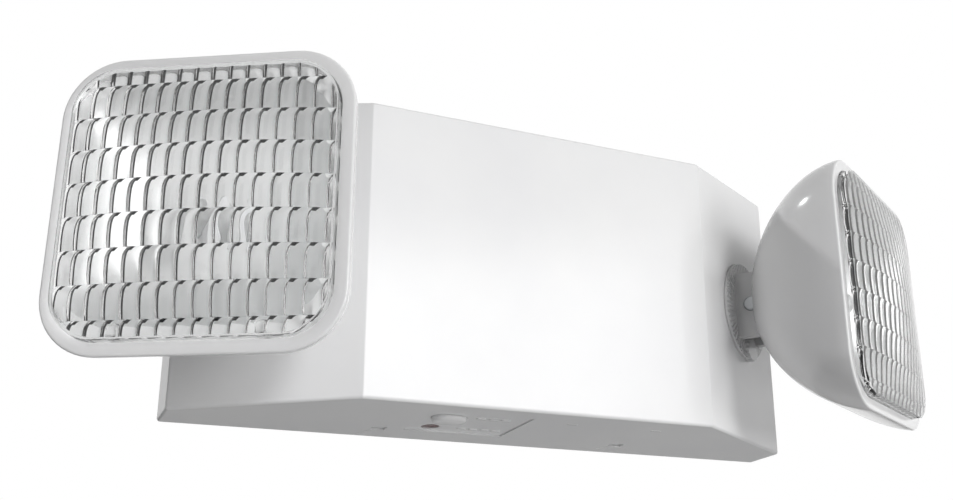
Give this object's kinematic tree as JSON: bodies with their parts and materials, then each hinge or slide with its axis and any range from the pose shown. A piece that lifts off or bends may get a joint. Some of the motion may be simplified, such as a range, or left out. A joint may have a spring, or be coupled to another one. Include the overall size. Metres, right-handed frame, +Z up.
{
  "type": "emergency exit light",
  "caption": "Wall-mounted emergency light: white housing with slanted ends, a square swivelling lamp head on each end, and a test button and indicator underneath.",
  "frame": {"origin": "middle of the housing back, in the wall plane, midway between the two wall screws", "axes": "+X along the wall, through both screw holes; +Y into the wall; +Z up"},
  "size_m": [0.3438, 0.1046, 0.1154],
  "materials": {
    "housing_abs": "semi gloss",
    "back_plate_abs": "satin",
    "button_abs": "semi gloss",
    "indicator_red": "gloss",
    "circuit_board": "satin",
    "dark_plastic": "satin",
    "plated_steel": "plated",
    "battery_case": "satin",
    "core_steel": "lacquered",
    "winding": "tape",
    "pin_plated": "plated",
    "swivel_abs": "semi gloss",
    "head_abs": "semi gloss",
    "lens_clear": "gloss",
    "reflector_chrome": "metallised",
    "holder_plastic": "satin",
    "lamp_glass": "gloss"
  },
  "bodies": {
    "root": {"back_plate": "back_plate_abs", "battery_pack": "battery_case", "battery_strap_left": "plated_steel", "battery_strap_right": "plated_steel", "board_screws": "plated_steel", "charge_indicator": "indicator_red", "circuit_board": "circuit_board", "housing": "housing_abs", "test_switch": "dark_plastic", "transformer_coil": "winding", "transformer_core": "core_steel"},
    "test_button": {"test_button": "button_abs"},
    "left_swivel": {"left_swivel_collar": "swivel_abs", "left_swivel_nut": "swivel_abs", "left_tilt_pin": "pin_plated"},
    "left_head": {"left_lamp_head": "head_abs", "left_lens": "lens_clear", "left_reflector": "reflector_chrome", "left_lamp_holder": "holder_plastic", "left_lamp": "lamp_glass"},
    "right_swivel": {"right_swivel_collar": "swivel_abs", "right_swivel_nut": "swivel_abs", "right_tilt_pin": "pin_plated"},
    "right_head": {"right_lamp_head": "head_abs", "right_lens": "lens_clear", "right_reflector": "reflector_chrome", "right_lamp_holder": "holder_plastic", "right_lamp": "lamp_glass"}
  },
  "joints": [
    {"name": "left_swivel_turn", "type": "hinge", "parent": "root", "child": "left_swivel", "pos_m": [-0.10278, -0.03235, 0], "axis": [-0.5176, -0.8556, 0], "range_deg": [-170, 170]},
    {"name": "left_head_tilt", "type": "hinge", "parent": "left_swivel", "child": "left_head", "pos_m": [-0.10666, -0.03877, 0], "axis": [0.8556, -0.5176, 0], "range_deg": [-25, 25]},
    {"name": "right_swivel_turn", "type": "hinge", "parent": "root", "child": "right_swivel", "pos_m": [0.10278, -0.03235, 0], "axis": [0.5176, -0.8556, 0], "range_deg": [-170, 170]},
    {"name": "right_head_tilt", "type": "hinge", "parent": "right_swivel", "child": "right_head", "pos_m": [0.10666, -0.03877, 0], "axis": [0.8556, 0.5176, 0], "range_deg": [-25, 25]},
    {"name": "test_button_press", "type": "slide", "parent": "root", "child": "test_button", "axis": [0, 0, 1], "range_m": [0, 0.0015], "stiffness_N_per_m": 600}
  ]
}
